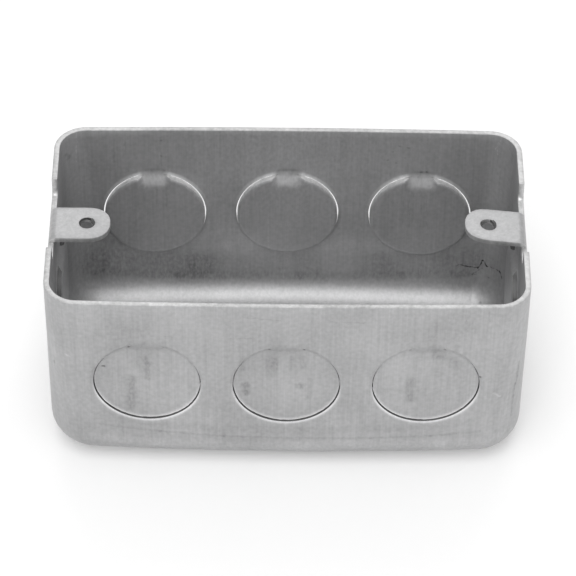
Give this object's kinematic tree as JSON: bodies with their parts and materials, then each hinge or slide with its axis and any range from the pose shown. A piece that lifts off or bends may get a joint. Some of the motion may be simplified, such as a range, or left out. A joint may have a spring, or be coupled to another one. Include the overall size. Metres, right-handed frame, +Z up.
{
  "type": "outlet box",
  "caption": "Drawn one-piece rectangular outlet box, open at the top, with round knockouts held by ties, inward ears with screw holes and fixing holes in its bottom.",
  "frame": {"origin": "centre of the box's outline, on the plane that the bottom stands on", "axes": "+X along the long walls, +Y across them, +Z up out of the open mouth"},
  "size_m": [0.099, 0.055, 0.0476],
  "materials": {
    "galvanised_steel": "satin"
  },
  "bodies": {
    "root": {"box_shell": "galvanised_steel"}
  },
  "joints": []
}
